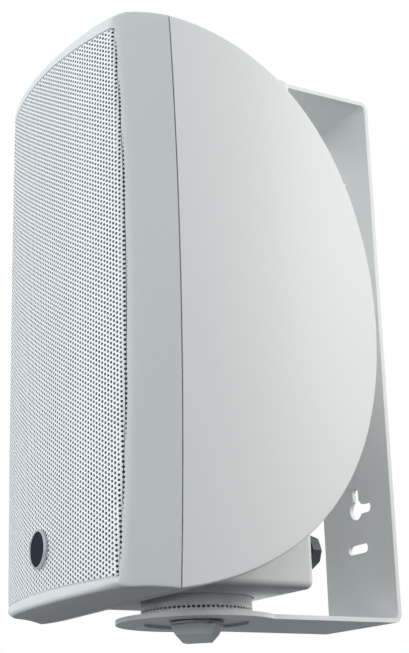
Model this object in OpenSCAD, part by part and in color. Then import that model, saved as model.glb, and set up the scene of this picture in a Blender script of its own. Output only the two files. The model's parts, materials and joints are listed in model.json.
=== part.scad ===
// Two-way wall loudspeaker with rounded side cheeks, held in a U bracket between two ratchet joints.
// Millimetres, +Z up. The origin lies on the pan axis at mid height, the grille faces -Y
// and the wall is on the +Y side. Everything at the lower joint is mirrored for the upper one.

/* [Cabinet] */
// Height of the cabinet, which is the diameter of its round side cheeks
cab_h = 302; // [296:1:320]
// Width of the cabinet where its cheeks are widest, half way up
widest_w = 181.9; // [178:0.1:186]
// Distance from the pan axis forward to where the cheeks are widest
widest_fwd = 17.2; // [12:0.2:22]
// Radius of the cheeks' sides seen from above
side_round = 218; // [205:1:240]
// Distance from the pan axis forward to the parting seam
seam_fwd = 54; // [50:0.5:60]
// Distance from the pan axis back to the rearmost line of the cheeks
cheek_back = 78.2; // [74:0.2:82]
// How far the sides bow outward between their ends and mid height
side_bow = 6.2; // [4:0.1:9]
// Wall thickness of the moulded shells
wall = 3; // [2.6:0.1:3.6]
// Width of the open groove along the parting seam
seam_gap = 0.7; // [0.5:0.1:1]
// How wide the bevel between side and cheek rim is
edge_cut = 1.8; // [1:0.1:3]

/* [Centre box] */
// Width of the square box between the cheeks that carries both joints
box_w = 117.4; // [112:0.2:122]
// Distance from the pan axis back to the rear face of the box
box_back = 36.7; // [35:0.1:40]
// Height of the box between its two joint faces
box_h = 287.4; // [284:0.2:290]
// Radius of the box's edges
box_round = 4; // [2:0.5:6]

/* [Front frame] */
// Width of the front, half way up
front_w = 150; // [146:0.5:154]
// Depth of the slanted side band between grille and seam
band_d = 23; // [20:0.5:26]
// How far the front bows forward between its sides and its middle
front_bow = 13; // [10:0.5:15]
// Radius of the frame's top and bottom front edges
frame_round = 4; // [2:0.5:5]
// Distance from the pan axis forward to the baffle's front face
baffle_fwd = 70; // [69:0.2:70.8]
// Thickness of the baffle
baffle_t = 6; // [5:0.5:8]

/* [Grille] */
// Height of the perforated grille
grille_h = 287; // [280:0.5:290]
// Width of the frame's lip beside the grille
grille_lip = 1; // [0.8:0.1:2]
// Thickness of the grille's steel sheet
grille_t = 1; // [0.8:0.1:1.2]
// Clearance between the grille's rim and its recess
grille_fit = 0.25; // [0.1:0.05:0.4]
// Clearance between the end of the grille's rim and the baffle
rim_gap = 0.8; // [0.2:0.1:1]
// Pitch of the coarse holes in the grille
hole_pitch = 18; // [17:0.5:24]
// Diameter of the coarse holes in the grille
hole_d = 9; // [6:0.5:12]
// Bare border between the outermost holes and the grille's edge
hole_border = 9; // [8:0.5:14]
// Thickness of the cloth behind the grille
cloth_t = 0.6; // [0.4:0.1:0.8]

/* [Badge] */
// Outside diameter of the badge's silver ring
badge_d = 20; // [16:0.5:24]
// Diameter of the badge's dark disc
badge_disc_d = 17.6; // [14:0.2:18]
// How far the badge stands out of the grille
badge_h = 2; // [1.2:0.1:3]
// Depth of the badge's centre below mid height
badge_drop = 121.7; // [118:0.1:128]

/* [Woofer] */
// Depth of the woofer's centre below mid height
woofer_drop = 45; // [42:0.5:50]
// Width of the woofer's flange outside its surround
woofer_edge_w = 4; // [3:0.5:5]
// Outside diameter of the woofer's cone
cone_d = 100; // [94:1:102]
// Radial width of the surround's half roll
roll_w = 11; // [10:0.5:11.5]
// Depth of the basket behind the baffle's front face
basket_d = 34; // [34:0.5:40]
// Diameter of the woofer's voice coil former
coil_d = 25; // [22:0.5:26]
// Diameter of the woofer's ring magnet
magnet_d = 84; // [76:1:90]
// Thickness of the woofer's ring magnet
magnet_t = 15; // [12:0.5:18]
// Radial clearance between the voice coils and their steel
coil_gap = 0.5; // [0.4:0.1:0.8]
// Diameter of the woofer's dust cap
dust_cap_d = 38; // [32:1:42]

/* [Tweeter] */
// Height of the tweeter's centre above mid height
tweeter_rise = 78; // [76:0.5:84]
// Diameter of the tweeter's face plate
tweeter_d = 92; // [86:1:94]
// Diameter of the tweeter's dome
dome_d = 25; // [22:0.5:26]
// Diameter of the tweeter's horn mouth
mouth_d = 68; // [60:1:70]
// Diameter of the tweeter's ring magnet
tweeter_magnet_d = 60; // [54:1:62]
// Thickness of the tweeter's ring magnet
tweeter_magnet_t = 10; // [8:0.5:12]

/* [Ratchet joints] */
// Height of each joint between the box and the bracket's arm
joint_h = 10.1; // [9.6:0.1:12]
// Outside diameter of both toothed rings
ring_d = 59.2; // [57:0.2:62]
// Radial width of both toothed rings
ring_w = 6; // [4:0.5:7]
// Height of the cabinet's toothed ring without its teeth
ring_h = 5.7; // [5.2:0.1:6]
// Height of a ratchet tooth
tooth_h = 0.75; // [0.5:0.05:0.9]
// Running gap between the tips of facing teeth
tooth_gap = 0.1; // [0.1:0.05:0.3]
// Number of ratchet teeth, one every five degrees
teeth = 72; // [60:6:72]
// Length of the ramp behind the bracket's toothed ring
ramp_l = 31; // [30.5:0.5:36]
// Width of the ramp behind the bracket's toothed ring
ramp_w = 50; // [40:1:52]

/* [Bracket] */
// Thickness of the bracket's steel plate
plate_t = 2.5; // [2:0.1:2.8]
// Width of the bracket's plate and arms
plate_w = 66; // [60:1:70]
// Distance from the pan axis back to the wall
wall_back = 110; // [108.5:0.5:118]
// Outside radius of the bracket's two bends
bend_r = 5; // [4:0.5:7]
// Diameter of the round end of each arm
arm_end_d = 86; // [80:1:90]
// Diameter of the dish pressed into each arm
dish_d = 57; // [54:0.5:57]
// How far the dish is pressed into each arm
dish_in = 1.5; // [1:0.1:1.8]
// Height of the keyholes' round openings from mid height
key_rise = 88.8; // [86:0.2:92]
// Diameter of the keyholes' round openings
key_d = 11.6; // [10:0.2:12]
// Width of every slot in the bracket's plate
slot_w = 5.5; // [4.5:0.1:6]
// Reach of the keyholes' narrow slots above their centres
key_up = 12.5; // [10:0.5:14]
// Reach of the keyholes' sideways slots beside their centres
key_side = 14; // [12:0.5:20]
// Height of the sideways slots' centres from mid height
slot_rise = 111.3; // [108:0.1:116]
// Length of the separate sideways slots
slot_l = 18.4; // [16:0.2:30]

/* [Clamp knobs] */
// Diameter of the knob's flange
flange_d = 29; // [27:0.5:34]
// Thickness of the knob's flange
flange_t = 1.2; // [1:0.1:1.6]
// Length of the grip where it meets the flange
grip_l = 25; // [22:0.5:28]
// Length of the grip where the bevel round its end starts
grip_end_l = 20; // [17:0.5:21]
// Width of the grip
grip_w = 14; // [13:0.5:18]
// Height of the grip
grip_h = 9.4; // [8:0.2:12]
// Height of the bevel round the grip's end
grip_cut = 4; // [2:0.2:4.6]
// Angle of the grip as it was left, seen from above
grip_turn = 135; // [0:5:175]
// Diameter of the clamp stud
stud_d = 6; // [5:0.5:7]
// Radial running clearance round the studs and the selector's shaft
run_fit = 0.06; // [0.03:0.01:0.09]
// Running gap between faces that turn on each other
face_gap = 0.05; // [0.05:0.01:0.1]
// Outside diameter of the clamp washer
washer_d = 18; // [16:1:22]
// Thickness of the clamp washer
washer_t = 0.6; // [0.5:0.1:0.9]

/* [Selector] */
// Width of the selector knob across its corners
selector_d = 17.6; // [14:0.2:18.4]
// How far the selector knob stands out of the box
selector_h = 6.2; // [5:0.2:8]
// Sideways place of the selector knob
selector_x = 49; // [46:0.5:49.5]
// Depth of the selector knob below mid height
selector_drop = 123.5; // [120:0.5:130]
// Diameter of the selector's shaft
shaft_d = 6; // [5:0.5:6]
// Width of the rotary switch behind the knob
switch_w = 11; // [9:0.5:11]

/* [Inside] */
// Width of the crossover board
board_w = 90; // [84:1:100]
// Height of the crossover board
board_h = 66; // [62:1:70]
// Thickness of the crossover board
board_t = 1.6; // [1:0.1:2]
// Distance from the pan axis back to the board's front face
board_back = 30; // [26:0.5:32]
// Height of the board's centre above mid height
board_rise = 50; // [44:1:52]
// Inset of the board's screws from its edges
board_inset = 6; // [5:0.5:8]
// Outside diameter of the crossover's air coils
air_coil_d = 19; // [16:0.5:21]
// Length of the crossover's air coils
air_coil_l = 14; // [10:0.5:18]
// Diameter of the crossover's capacitors
cap_d = 11; // [9:0.5:13]
// Length of the crossover's capacitors
cap_l = 13.8; // [11:0.2:15]
// Width of the transformer's core
core_w = 32; // [28:1:36]
// Height of the transformer's core
core_h = 44; // [40:1:50]
// Depth of the transformer's core
core_d = 30; // [24:1:32]

/* [Hidden] */
seam_y = -seam_fwd;
cheek_r = cab_h / 2;
cheek_y = cheek_back - cheek_r;
seam_w = 2 * side_x(seam_y);
band_taper = atan((seam_w - front_w) / 2 / band_d);
bow_r = pow(cheek_r, 2) / (2 * side_bow);
front_side_y = seam_y - band_d;
front_r = (pow(front_w / 2, 2) + pow(front_bow, 2)) / (2 * front_bow);
front_y = front_side_y - front_bow;
front_axis_y = front_y + front_r;
edge_slope = (front_w / 2) / sqrt(pow(front_r, 2) - pow(front_w / 2, 2));
grille_bow_r = bow_r * (1 - tan(band_taper) * edge_slope);
grille_half = front_w / 2 - grille_lip;
baffle_y = -baffle_fwd;
rim_y = baffle_y - rim_gap;

// Each side is an arc seen from above, swung about a line far behind the other side.
function side_x(y) = widest_w / 2 - side_round + sqrt(pow(side_round, 2) - pow(y + widest_fwd, 2));

// The bevel's place on the cheek's rim: half width and height at the angle a from the rearmost line.
bevel_in = edge_cut / sqrt(2) / 2;
bevel_axis_x = 51;
bevel_step = 7;
function bevel_y(a) = cheek_y + (cheek_r - bevel_in) * cos(a);
function bevel_z(a) = (cheek_r - bevel_in) * sin(a);
function bevel_x(a) = side_x(cheek_y + cheek_r * cos(a)) - side_bow * pow(sin(a), 2) - bevel_in;
function bevel_r(a) = sqrt(pow(bevel_x(a) + bevel_axis_x, 2) + pow(bevel_z(a), 2));

box_z = box_h / 2;
arm_in_z = box_z + joint_h;
arm_out_z = arm_in_z + plate_t;
tooth_top_z = box_z + ring_h;
base_top_z = box_z + ring_h + 2 * tooth_h + tooth_gap;
dish_draft = 0.3;
dish_floor_z = arm_out_z - dish_in;
ring_hole_d = ring_d - 2 * ring_w;
stud_hole_d = stud_d + 2 * run_fit;
insert_d = 14;
insert_flange_d = 22;
insert_t = 4;
insert_len = 9;
washer_z = dish_floor_z + washer_t;
flange_z = washer_z + face_gap;
grip_z = flange_z + flange_t;
grip_end_z = grip_z + grip_h;
stud_end_z = box_z - wall - insert_len + 2;

// Woofer heights are measured back from the baffle's front face.
woofer_flange_t = 3;
roll_r = roll_w / 2;
coil_r = coil_d / 2;
former_t = 0.5;
cone_t = 0.9;
cone_deep = 22;
cone_lip = 2;
spider_seat = basket_d - 4;
plate_top = basket_d;
plate_bottom = plate_top + 5;
magnet_end = plate_bottom + magnet_t;
yoke_end = magnet_end + 5;
screw_head_d = 5.2;
screw_head_t = 1.8;
screw_d = 3;
screw_fit = 0.1;
woofer_d = cone_d + 2 * (roll_w + woofer_edge_w);
woofer_hole_d = cone_d + 2 * roll_w + 2;
woofer_screw_r = woofer_d / 2 + screw_d / 2;
woofer_ear_d = screw_head_d + 4;
tweeter_screw_r = tweeter_d / 2 - 4.5;
tweeter_hole_d = mouth_d - 2;
tweeter_coil_start = 11.4;
tweeter_plate_t = 3;
tweeter_plate_at = 12;
tweeter_magnet_at = tweeter_plate_at + tweeter_plate_t;
tweeter_magnet_end = tweeter_magnet_at + tweeter_magnet_t;
driver_screw_l = baffle_t + 2;
board_screw_l = 9;

// Cabinet screws as [sideways, up] places, kept clear of both drivers.
corner_screw_x = 55;
corner_screw_z = 128;
side_screw_x = 62;
side_screw_z = 27;
cabinet_screws_at = [
    [corner_screw_x, corner_screw_z],
    [corner_screw_x, -corner_screw_z],
    [side_screw_x, side_screw_z]
];
post_d = 10;
cabinet_screw_d = 4;
cabinet_screw_head_d = 7;
cabinet_screw_head_t = 2.5;
cabinet_screw_l = 36;
cabinet_screw_bore = cabinet_screw_l + baffle_y - seam_y + 12;
post_d_board = 8;
board_screw_bore = board_screw_l + 3;
core_leg = core_w / 4;
window_h = (core_h - 2.5 * core_leg) / 2;
part_gap = 6;
core_x = board_w / 2 - core_w - part_gap - 1;
cap_x = core_x - cap_d / 2 - part_gap;
air_coil_x = air_coil_d / 2 + board_inset + part_gap / 2 - board_w / 2;
winding_wrap = 4;
winding_gap = 0.2;

terminal_x = -12;
terminal_w = 46;
terminal_h = 18;
terminal_drop = 121;
terminal_out = 5;

// The cheeks' drum, its skin moved in by inset.
module drum(inset) {
    translate([0, cheek_y, 0])
        rotate([0, 90, 0])
            cylinder(r = cheek_r - inset, h = 2 * seam_w, center = true, $fn = 240);
}

// The room between two bowed sides that lean in by taper from half_w at place at_y.
module between_sides(half_w, at_y, taper, radius, inset) {
    intersection() {
        bowed_side(half_w, at_y, taper, radius, inset);
        mirror([1, 0, 0])
            bowed_side(half_w, at_y, taper, radius, inset);
    }
}

module bowed_side(half_w, at_y, taper, radius, inset) {
    translate([half_w, at_y, 0])
        rotate([0, 0, taper])
            translate([-radius - inset, 0, 0])
                rotate([90, 0, 0])
                    cylinder(r = radius, h = 4 * cheek_r, center = true, $fn = 720);
}

// The room between the cheeks' two swung sides.
module rear_sides(inset) {
    intersection() {
        swung_side(inset);
        mirror([1, 0, 0])
            swung_side(inset);
    }
}

module swung_side(inset) {
    translate([widest_w / 2 - bow_r, -widest_fwd, 0])
        rotate([-90, 0, 0])
            rotate_extrude($fn = 720)
                union() {
                    translate([0, -side_round])
                        square([bow_r - side_round, 2 * side_round]);
                    translate([bow_r - side_round, 0])
                        circle(r = side_round - inset, $fn = 180);
                }
}

// What the bevel along one cheek's rim leaves, turned about a line beside the pan axis.
module bevelled_side() {
    beyond = 12;
    translate([-bevel_axis_x, 0, 0])
        rotate([-90, 0, 0])
            rotate_extrude($fn = 360)
                polygon([
                    [0, bevel_y(0) + beyond],
                    [bevel_r(0) - 1.75 * beyond, bevel_y(0) + beyond],
                    for (a = [0 : bevel_step : 84]) [bevel_r(a), bevel_y(a)],
                    [bevel_r(84), bevel_y(84) - beyond],
                    [0, bevel_y(84) - beyond]
                ]);
}

module band_sides(inset) {
    between_sides(seam_w / 2, seam_y, -band_taper, bow_r / cos(band_taper), inset);
}

// Everything from y0 to y1.
module slab(y0, y1) {
    translate([-seam_w, y0, -cab_h])
        cube([2 * seam_w, y1 - y0, 2 * cab_h]);
}

// A rounded rectangle drawn with circles at its corners, so its corners stay true arcs.
module rounded_rect(w, h, r) {
    union() {
        square([w - 2 * r, h], center = true);
        square([w, h - 2 * r], center = true);
        for (sx = [-1, 1], sy = [-1, 1])
            translate([sx * (w / 2 - r), sy * (h / 2 - r)])
                circle(r = r, $fn = 32);
    }
}

module cheek_body(inset) {
    intersection() {
        drum(inset);
        rear_sides(inset);
    }
}

// The square box: its plan, rear view and side view are all rounded.
module centre_box(inset) {
    depth = box_back - seam_y;
    r = max(box_round - inset, 1);
    intersection() {
        translate([0, (box_back + seam_y) / 2, -box_z + inset])
            linear_extrude(box_h - 2 * inset)
                rounded_rect(box_w - 2 * inset, depth - 2 * inset, r);
        translate([0, box_back - inset, 0])
            rotate([90, 0, 0])
                linear_extrude(depth - 2 * inset)
                    rounded_rect(box_w - 2 * inset, box_h - 2 * inset, r);
        translate([-box_w / 2, (box_back + seam_y) / 2, 0])
            rotate([90, 0, 90])
                linear_extrude(box_w)
                    rounded_rect(depth - 2 * inset, box_h - 2 * inset, r);
    }
}

// Something drawn along +Z, laid along +Y from depth y at the place x, z.
module along_y(x, y, z) {
    translate([x, y, z])
        rotate([-90, 0, 0])
            children();
}

module cabinet_screw_places() {
    for (at = cabinet_screws_at, sx = [-1, 1])
        translate([sx * at[0], 0, at[1]])
            children();
}

module board_screw_places() {
    for (sx = [-1, 1], sz = [-1, 1])
        translate([sx * (board_w / 2 - board_inset), 0, board_rise + sz * (board_h / 2 - board_inset)])
            children();
}

module rear_cabinet() {
    color("whitesmoke")
        difference() {
            union() {
                difference() {
                    intersection() {
                        union() {
                            intersection() {
                                cheek_body(0);
                                bevelled_side();
                                mirror([1, 0, 0])
                                    bevelled_side();
                            }
                            centre_box(0);
                        }
                        slab(seam_y + seam_gap / 2, 2 * cheek_back);
                    }
                    intersection() {
                        union() {
                            cheek_body(wall);
                            centre_box(wall);
                        }
                        slab(seam_y - wall, 2 * cheek_back);
                    }
                }
                intersection() {
                    cheek_body(wall / 2);
                    cabinet_bosses();
                }
            }
            cabinet_screw_places()
                along_y(0, seam_y - 1, 0)
                    cylinder(d = cabinet_screw_d, h = cabinet_screw_bore, $fn = 24);
            board_screw_places()
                along_y(0, board_back, 0)
                    cylinder(d = screw_d, h = board_screw_bore, $fn = 24);
            for (side = [0, 1])
                mirror([0, 0, side]) {
                    translate([0, 0, -box_z - 1])
                        cylinder(d = insert_d, h = wall + 2, $fn = 48);
                    translate([0, 0, -box_z - 3 * wall])
                        cylinder(d = ring_d + 1, h = 3 * wall, $fn = 96);
                }
            along_y(selector_x, box_back - 2 * wall, -selector_drop)
                cylinder(d = shaft_d + 1, h = 3 * wall, $fn = 32);
            translate([terminal_x - terminal_w / 2, box_back - 2 * wall, -terminal_drop - terminal_h / 2])
                cube([terminal_w, 3 * wall, terminal_h]);
        }
}

// Screw columns behind the seam, tied to the walls, and the posts that carry the board.
module cabinet_bosses() {
    boss_back = 57;
    rib_t = 3;
    for (at = cabinet_screws_at, sx = [-1, 1]) {
        along_y(sx * at[0], seam_y + seam_gap / 2, at[1])
            cylinder(d = post_d, h = boss_back, $fn = 32);
        if (at[1] == side_screw_z)
            translate([sx > 0 ? at[0] : -seam_w, seam_y + seam_gap / 2, at[1] - rib_t / 2])
                cube([seam_w - at[0], boss_back, rib_t]);
    }
    board_screw_places()
        along_y(0, board_back + board_t, 0)
            cylinder(d = post_d_board, h = cheek_back, $fn = 32);
}

// The frame's outside: a wide cylinder in front whose top and bottom edges are rounded.
module front_swell() {
    translate([0, front_axis_y, 0])
        rotate_extrude($fn = 360)
            union() {
                translate([0, -cheek_r])
                    square([front_r - frame_round, cab_h]);
                translate([0, -cheek_r + frame_round])
                    square([front_r, cab_h - 2 * frame_round]);
                for (side = [-1, 1])
                    translate([front_r - frame_round, side * (cheek_r - frame_round)])
                        circle(r = frame_round, $fn = 48);
            }
}

// The grille's outline seen from the front, its edges moved in by inset.
module grille_outline(inset) {
    intersection() {
        between_sides(grille_half, 0, 0, grille_bow_r, inset);
        translate([-seam_w, -2 * front_r, -grille_h / 2 + inset])
            cube([2 * seam_w, 4 * front_r, grille_h - 2 * inset]);
    }
}

module front_frame() {
    color("gainsboro")
        difference() {
            union() {
                difference() {
                    intersection() {
                        drum(0);
                        band_sides(0);
                        front_swell();
                        slab(-2 * cheek_r, seam_y - seam_gap / 2);
                    }
                    intersection() {
                        grille_outline(-grille_fit);
                        slab(-2 * cheek_r, baffle_y);
                    }
                    intersection() {
                        drum(wall);
                        band_sides(wall);
                        slab(baffle_y + baffle_t, 0);
                    }
                }
                cabinet_screw_places()
                    along_y(0, baffle_y + baffle_t - 1, 0)
                        cylinder(d = post_d, h = seam_y - seam_gap / 2 - baffle_y - baffle_t + 1, $fn = 32);
            }
            along_y(0, baffle_y - 1, -woofer_drop)
                cylinder(d = woofer_hole_d, h = baffle_t + 2, $fn = 120);
            along_y(0, baffle_y - 1, tweeter_rise)
                cylinder(d = tweeter_hole_d, h = baffle_t + 2, $fn = 96);
            cabinet_screw_places()
                along_y(0, baffle_y - 1, 0)
                    cylinder(d = cabinet_screw_d + 2 * screw_fit, h = 40, $fn = 24);
            driver_screw_places(woofer_screw_r, -woofer_drop)
                along_y(0, baffle_y - 1, 0)
                    cylinder(d = screw_d, h = baffle_t + 2, $fn = 24);
            driver_screw_places(tweeter_screw_r, tweeter_rise)
                along_y(0, baffle_y - 1, 0)
                    cylinder(d = screw_d, h = baffle_t + 2, $fn = 24);
        }
}

module driver_screw_places(radius, z) {
    for (a = [45 : 90 : 315])
        translate([radius * cos(a), 0, z + radius * sin(a)])
            children();
}

module seam_gasket() {
    color("dimgray")
        intersection() {
            difference() {
                intersection() {
                    drum(1.2);
                    band_sides(1.2);
                }
                intersection() {
                    drum(wall - 0.2);
                    band_sides(wall - 0.2);
                }
            }
            slab(seam_y - seam_gap / 2, seam_y + seam_gap / 2);
        }
}

// A pan-head screw along +Y whose head seats at depth y.
module screw(y, shank_d, head_d, head_t, length) {
    recess_l = head_d * 0.64;
    recess_w = head_d * 0.14;
    along_y(0, y - head_t, 0)
        difference() {
            union() {
                cylinder(d = head_d, h = head_t, $fn = 32);
                cylinder(d = shank_d, h = head_t + length, $fn = 24);
            }
            for (turn = [0, 90])
                rotate([0, 0, turn])
                    translate([-recess_l / 2, -recess_w / 2, -1])
                        cube([recess_l, recess_w, 1 + head_t * 0.6]);
        }
}

module cabinet_screws() {
    color("dimgray")
        cabinet_screw_places()
            screw(baffle_y, cabinet_screw_d, cabinet_screw_head_d, cabinet_screw_head_t, cabinet_screw_l);
}

module woofer_screws() {
    color("dimgray")
        driver_screw_places(woofer_screw_r, -woofer_drop)
            screw(baffle_y - woofer_flange_t, screw_d, screw_head_d, screw_head_t, driver_screw_l);
}

module tweeter_screws() {
    color("dimgray")
        driver_screw_places(tweeter_screw_r, tweeter_rise)
            screw(baffle_y - woofer_flange_t, screw_d, screw_head_d, screw_head_t, driver_screw_l);
}

module board_screws() {
    color("dimgray")
        board_screw_places()
            screw(board_back, screw_d, screw_head_d, screw_head_t, board_screw_l);
}

// Perforated sheet bowed like the front, with a folded rim that slips into the frame.
module grille() {
    color("white")
        difference() {
            intersection() {
                translate([0, front_axis_y, 0])
                    cylinder(r = front_r, h = cab_h, center = true, $fn = 720);
                grille_outline(0);
                slab(-2 * cheek_r, rim_y);
            }
            intersection() {
                translate([0, front_axis_y, 0])
                    cylinder(r = front_r - grille_t, h = cab_h, center = true, $fn = 720);
                grille_outline(grille_t);
            }
            grille_holes();
        }
}

// Staggered rows of holes, as many as fit inside the border.
module grille_holes() {
    row_pitch = hole_pitch * sin(60);
    rows = floor((grille_h / 2 - hole_border) / row_pitch);
    for (row = [-rows : rows]) {
        z = row * row_pitch;
        room = grille_half - pow(z, 2) / (2 * grille_bow_r) - hole_border;
        shift = row % 2 == 0 ? 0 : hole_pitch / 2;
        count = floor((room - shift) / hole_pitch);
        for (col = [-count - (shift > 0 ? 1 : 0) : count])
            along_y(col * hole_pitch + shift, front_y - 1, z)
                cylinder(d = hole_d, h = front_bow + 2, $fn = 24);
    }
}

module grille_cloth() {
    color("dimgray")
        intersection() {
            translate([0, front_axis_y, 0])
                difference() {
                    cylinder(r = front_r - grille_t - 0.1, h = cab_h, center = true, $fn = 720);
                    cylinder(r = front_r - grille_t - 0.1 - cloth_t, h = 2 * cab_h, center = true, $fn = 720);
                }
            grille_outline(grille_t + 0.2);
            slab(-2 * cheek_r, rim_y);
        }
}

// The badge's seat is the depth of the grille's surface at the badge's edge.
module badge_ring() {
    seat_y = front_axis_y - sqrt(pow(front_r, 2) - pow(badge_d / 2, 2));
    color("silver")
        along_y(0, front_y - badge_h, -badge_drop)
            rotate_extrude($fn = 96)
                polygon([
                    [badge_disc_d / 2, 0.5],
                    [badge_disc_d / 2 + 0.3, 0],
                    [badge_disc_d / 2 + 0.6, 0],
                    [badge_d / 2, 0.9],
                    [badge_d / 2, badge_h + seat_y - front_y],
                    [badge_disc_d / 2, badge_h + seat_y - front_y]
                ]);
}

module badge_disc() {
    color("midnightblue")
        along_y(0, front_y - badge_h + 0.6, -badge_drop)
            cylinder(d = badge_disc_d, h = badge_h - 0.6, $fn = 96);
}

// Radial ridges on a ring's face, tips up.
module face_teeth() {
    base_w = PI * ring_hole_d / teeth * 0.98;
    for (i = [0 : teeth - 1])
        rotate([0, 0, i * 360 / teeth])
            translate([ring_hole_d / 2 + 0.1, 0, 0])
                rotate([90, 0, 90])
                    linear_extrude(ring_w - 0.25)
                        polygon([
                            [-base_w / 2, -0.2],
                            [base_w / 2, -0.2],
                            [base_w / 2, 0],
                            [0.15, tooth_h],
                            [-0.15, tooth_h],
                            [-base_w / 2, 0]
                        ]);
}

// Ring moulded for the cabinet side, drawn for the lower joint.
module cabinet_ratchet() {
    color("whitesmoke")
        mirror([0, 0, 1])
            union() {
                translate([0, 0, box_z])
                    difference() {
                        cylinder(d = ring_d, h = ring_h, $fn = 96);
                        translate([0, 0, -1])
                            cylinder(d = ring_hole_d, h = ring_h + 2, $fn = 96);
                    }
                translate([0, 0, tooth_top_z])
                    face_teeth();
            }
}

// Ring on the arm: a cap over the pressed dish with a ramp down to the arm behind it.
module bracket_ratchet() {
    base_h = arm_in_z - base_top_z;
    ramp_top = base_h - 0.6;
    color("whitesmoke")
        mirror([0, 0, 1])
            difference() {
                union() {
                    translate([0, 0, base_top_z])
                        cylinder(d = ring_d, h = base_h, $fn = 96);
                    translate([-ramp_w / 2, 0, arm_in_z])
                        rotate([90, 0, 90])
                            linear_extrude(ramp_w)
                                polygon([
                                    [0, 0],
                                    [ramp_l, 0],
                                    [ramp_l, -0.5],
                                    [ramp_l - 10, -ramp_top],
                                    [0, -ramp_top]
                                ]);
                    translate([0, 0, base_top_z])
                        mirror([0, 0, 1])
                            face_teeth();
                }
                translate([0, 0, arm_in_z - dish_in - 0.1])
                    cylinder(d = dish_d + 0.2, h = plate_t + 1, $fn = 96);
                translate([0, 0, base_top_z - 2])
                    cylinder(d = stud_d + 1, h = base_h + 4, $fn = 48);
            }
}

module slot(x0, x1, z) {
    for (x = [x0, x1])
        along_y(x, wall_back - 2 * plate_t, z)
            cylinder(d = slot_w, h = 3 * plate_t, $fn = 32);
    translate([x0, wall_back - 2 * plate_t, z - slot_w / 2])
        cube([x1 - x0, 3 * plate_t, slot_w]);
}

// Keyhole: a round opening, a narrow slot above it and a slot beside it.
module keyhole(z) {
    along_y(0, wall_back - 2 * plate_t, z)
        cylinder(d = key_d, h = 3 * plate_t, $fn = 48);
    along_y(0, wall_back - 2 * plate_t, z + key_up - slot_w / 2)
        cylinder(d = slot_w, h = 3 * plate_t, $fn = 32);
    translate([-slot_w / 2, wall_back - 2 * plate_t, z])
        cube([slot_w, 3 * plate_t, key_up - slot_w / 2]);
    slot(0, key_side - slot_w / 2, z);
}

// One strip of plate bent into a U, with a round end and a pressed dish on each arm.
module bracket() {
    inner_r = bend_r - plate_t;
    color("whitesmoke")
        difference() {
            union() {
                translate([-plate_w / 2, 0, 0])
                    rotate([90, 0, 90])
                        linear_extrude(plate_w)
                            difference() {
                                translate([wall_back / 2 - bend_r, 0])
                                    rounded_rect(wall_back + 2 * bend_r, 2 * arm_out_z, bend_r);
                                translate([wall_back / 2 - plate_t - bend_r, 0])
                                    rounded_rect(wall_back + 2 * bend_r, 2 * arm_in_z, inner_r);
                                translate([-4 * bend_r, -arm_out_z - 1])
                                    square([4 * bend_r, 2 * arm_out_z + 2]);
                            }
                for (side = [0, 1])
                    mirror([0, 0, side])
                        translate([0, 0, arm_in_z]) {
                            cylinder(d = arm_end_d, h = plate_t, $fn = 120);
                            translate([0, 0, -dish_in])
                                cylinder(d = dish_d, h = dish_in + 0.1, $fn = 96);
                        }
            }
            for (side = [0, 1])
                mirror([0, 0, side]) {
                    translate([0, 0, dish_floor_z])
                        cylinder(d = dish_d - 2 * dish_draft, h = plate_t + 1, $fn = 96);
                    translate([0, 0, arm_in_z - 3 * plate_t])
                        cylinder(d = stud_hole_d, h = 6 * plate_t, $fn = 48);
                }
            for (side = [-1, 1])
                slot(-slot_l / 2 + slot_w / 2, slot_l / 2 - slot_w / 2, side * slot_rise);
            keyhole(-key_rise);
            keyhole(key_rise);
        }
}

module washer() {
    color("silver")
        mirror([0, 0, 1])
            translate([0, 0, dish_floor_z])
                difference() {
                    cylinder(d = washer_d, h = washer_t, $fn = 64);
                    translate([0, 0, -1])
                        cylinder(d = stud_d + 0.6, h = washer_t + 2, $fn = 48);
                }
}

// Brass insert clamped through the box's wall, drawn for the lower joint.
module insert() {
    color("goldenrod")
        mirror([0, 0, 1])
            difference() {
                union() {
                    translate([0, 0, box_z - wall])
                        cylinder(d = insert_d, h = wall + ring_h, $fn = 48);
                    translate([0, 0, box_z - wall - insert_t])
                        cylinder(d = insert_flange_d, h = insert_t, $fn = 6);
                    translate([0, 0, box_z - wall - insert_len])
                        cylinder(d = insert_d, h = insert_len, $fn = 48);
                }
                translate([0, 0, box_z - wall - insert_len - 1])
                    cylinder(d = stud_hole_d, h = insert_len + wall + ring_h + 2, $fn = 48);
            }
}

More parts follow.
